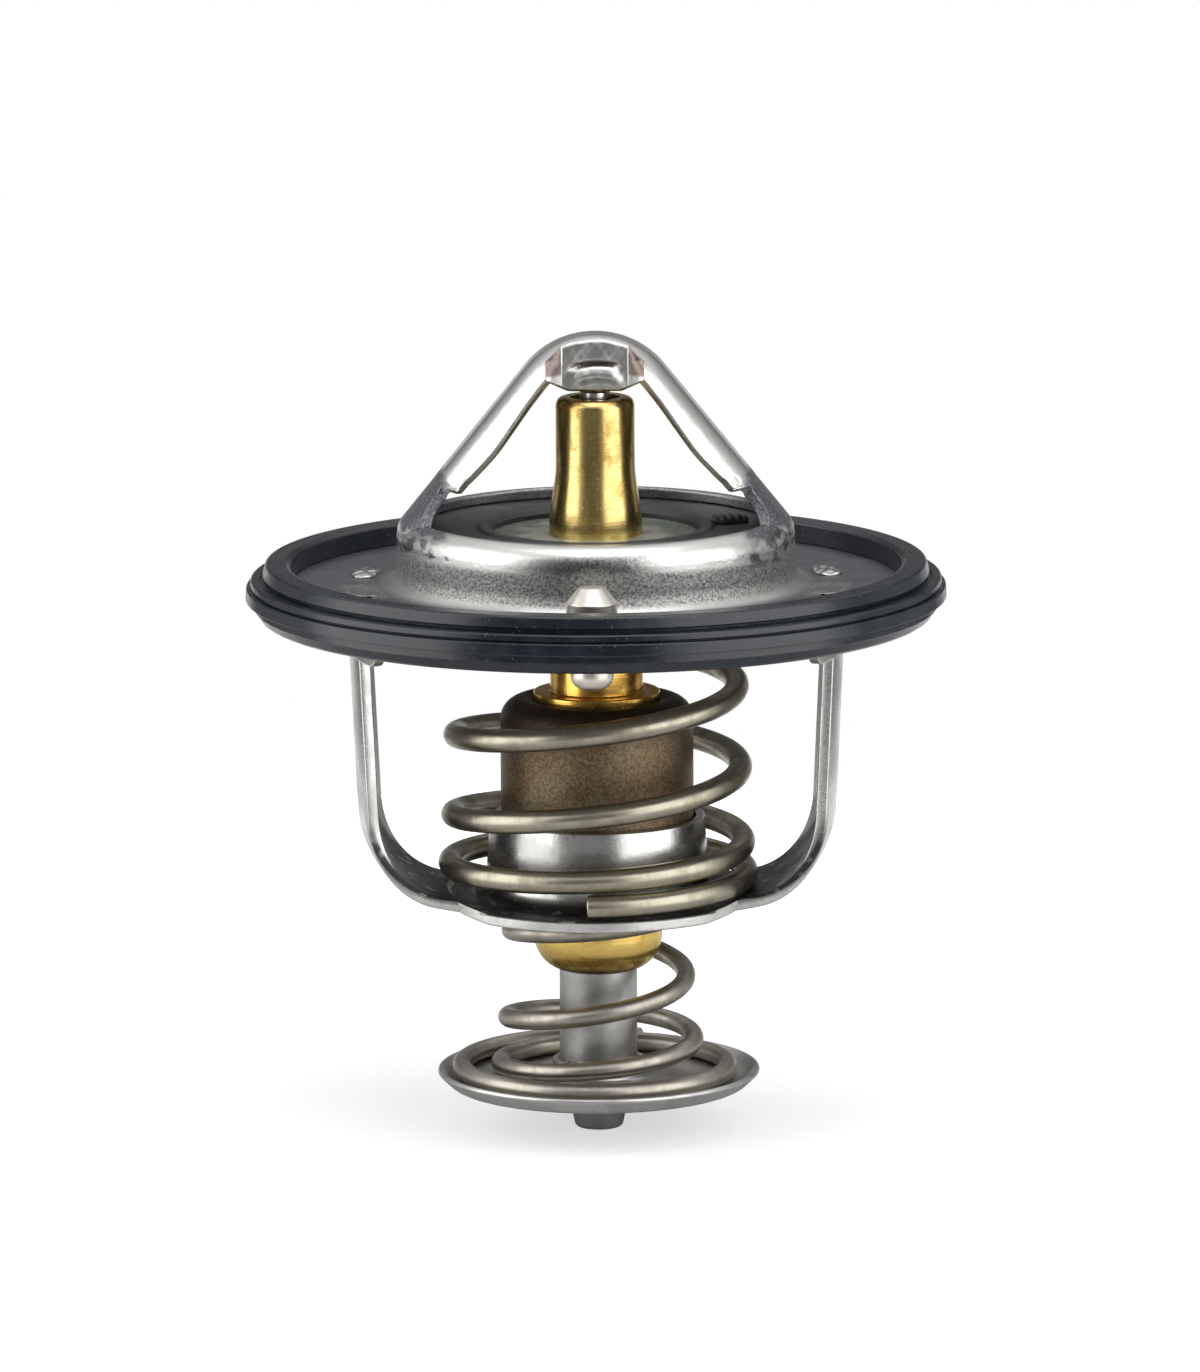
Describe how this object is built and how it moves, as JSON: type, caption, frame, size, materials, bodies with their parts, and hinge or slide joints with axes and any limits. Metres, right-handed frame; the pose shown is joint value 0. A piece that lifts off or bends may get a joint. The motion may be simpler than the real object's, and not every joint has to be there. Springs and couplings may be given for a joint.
{
  "type": "engine thermostat",
  "caption": "Wax-element coolant valve with a bridged flange, ribbed rubber gasket, sprung main disc and a sprung bypass disc on a stem.",
  "frame": {"origin": "centre of the gasket's middle ridge, on the piston's axis", "axes": "+Z along the piston axis towards the bridge; X through the two bridge legs; -Y towards the jiggle valve"},
  "size_m": [0.062, 0.062, 0.0717],
  "materials": {
    "bridge_steel": "satin",
    "frame_steel": "satin",
    "spring_steel": "satin",
    "disc_steel": "satin",
    "stem_steel": "satin",
    "piston_steel": "polished",
    "guide_brass": "satin",
    "cup_brass": "matte, aged",
    "nose_brass": "satin",
    "jiggle_brass": "satin",
    "gasket_rubber": "matte",
    "seal_rubber": "matte",
    "inner_rubber": "matte",
    "wax_fill": "matte"
  },
  "bodies": {
    "frame": {"flange_bridge": "bridge_steel", "gasket": "gasket_rubber", "lower_frame": "frame_steel", "piston": "piston_steel", "backup_plate": "inner_rubber", "rubber_plug": "inner_rubber", "main_spring": "spring_steel"},
    "element": {"guide": "guide_brass", "guide_seal": "seal_rubber", "valve_disc": "disc_steel", "valve_seal": "seal_rubber", "wax_cup": "cup_brass", "nose_cup": "nose_brass", "diaphragm": "inner_rubber", "semifluid": "wax_fill", "wax": "wax_fill", "stem": "stem_steel", "retaining_ring": "spring_steel", "bypass_spring": "spring_steel"},
    "bypass_valve": {"bypass_disc": "disc_steel"},
    "jiggle_valve": {"jiggle_pin": "jiggle_brass", "jiggle_weight": "jiggle_brass"}
  },
  "joints": [
    {"name": "valve_lift", "type": "slide", "parent": "frame", "child": "element", "axis": [0, 0, -1], "range_m": [0, 0.0085], "stiffness_N_per_m": 7000, "springref_m": -0.0085, "deforming": ["main_spring"]},
    {"name": "bypass_slide", "type": "slide", "parent": "element", "child": "bypass_valve", "axis": [0, 0, 1], "range_m": [0, 0.005], "stiffness_N_per_m": 3000, "springref_m": -0.003, "deforming": ["bypass_spring"]},
    {"name": "jiggle_lift", "type": "slide", "parent": "frame", "child": "jiggle_valve", "axis": [0, 0, 1], "range_m": [0, 0.0011]}
  ]
}
